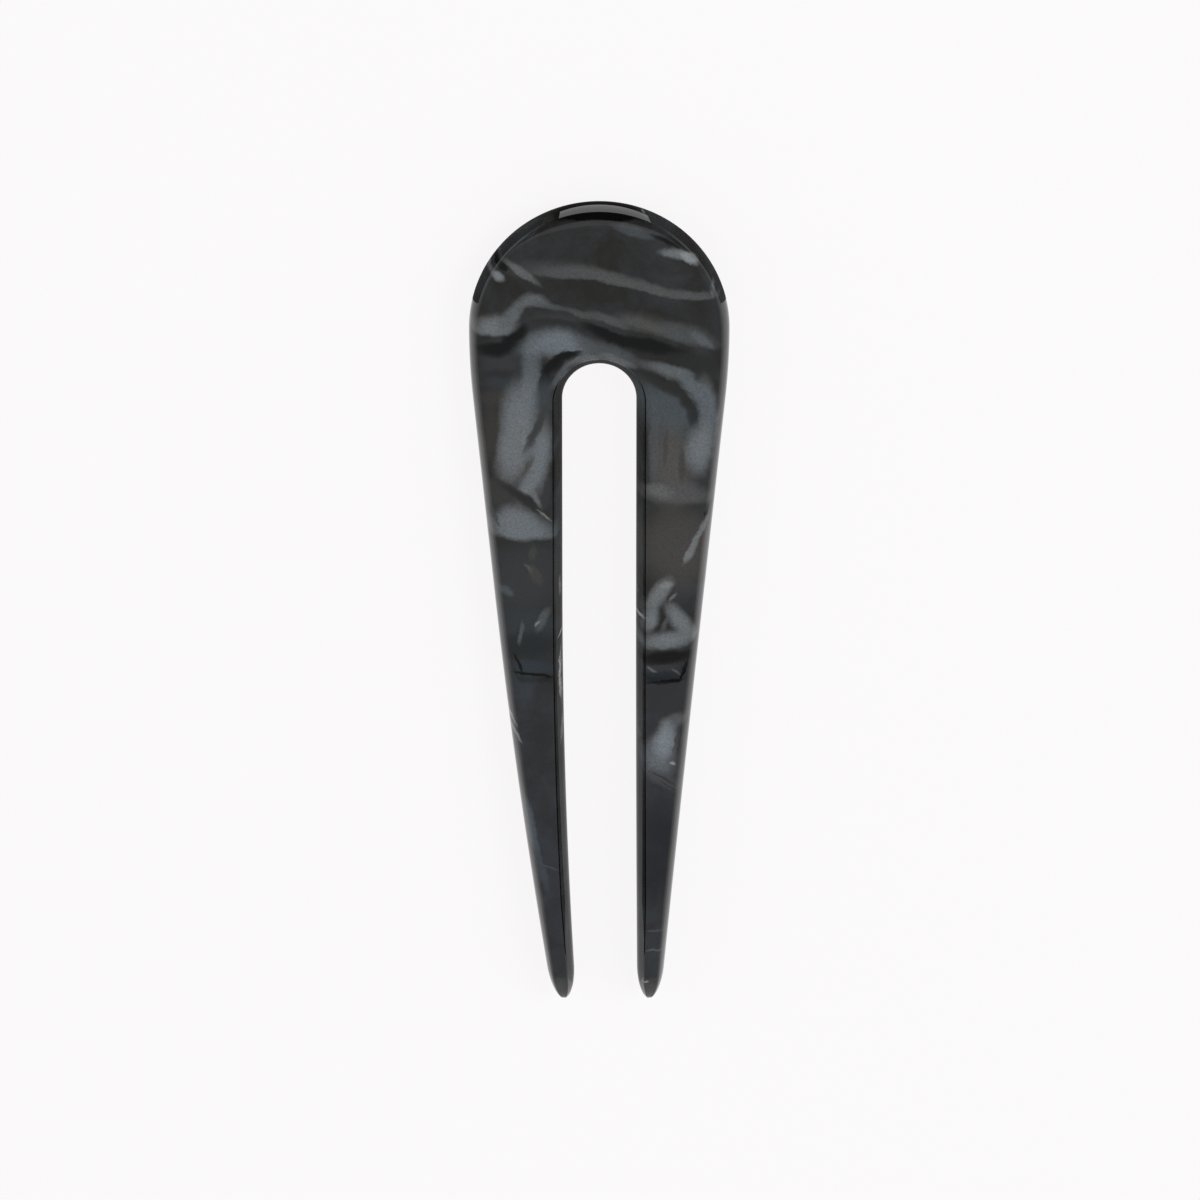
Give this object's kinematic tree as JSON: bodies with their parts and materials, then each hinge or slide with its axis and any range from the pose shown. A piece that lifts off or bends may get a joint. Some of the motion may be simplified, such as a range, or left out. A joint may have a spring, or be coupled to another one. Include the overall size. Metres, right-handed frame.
{
  "type": "french hair pin",
  "caption": "U-shaped hair pin in glossy marbled acetate, with a round head, a round-topped slot and tapering prongs with rounded points.",
  "frame": {"origin": "middle of the pin's length and width, on its back face, which lies on the surface", "axes": "+Y along the pin towards its head, the prongs point to -Y, +Z out of the front face, +X to the right seen from the front"},
  "size_m": [0.035, 0.114, 0.0055],
  "materials": {
    "acetate": "polished near-black acetate with pearly blue-grey marbling"
  },
  "bodies": {
    "root": {"hair_pin": "acetate"}
  },
  "joints": []
}
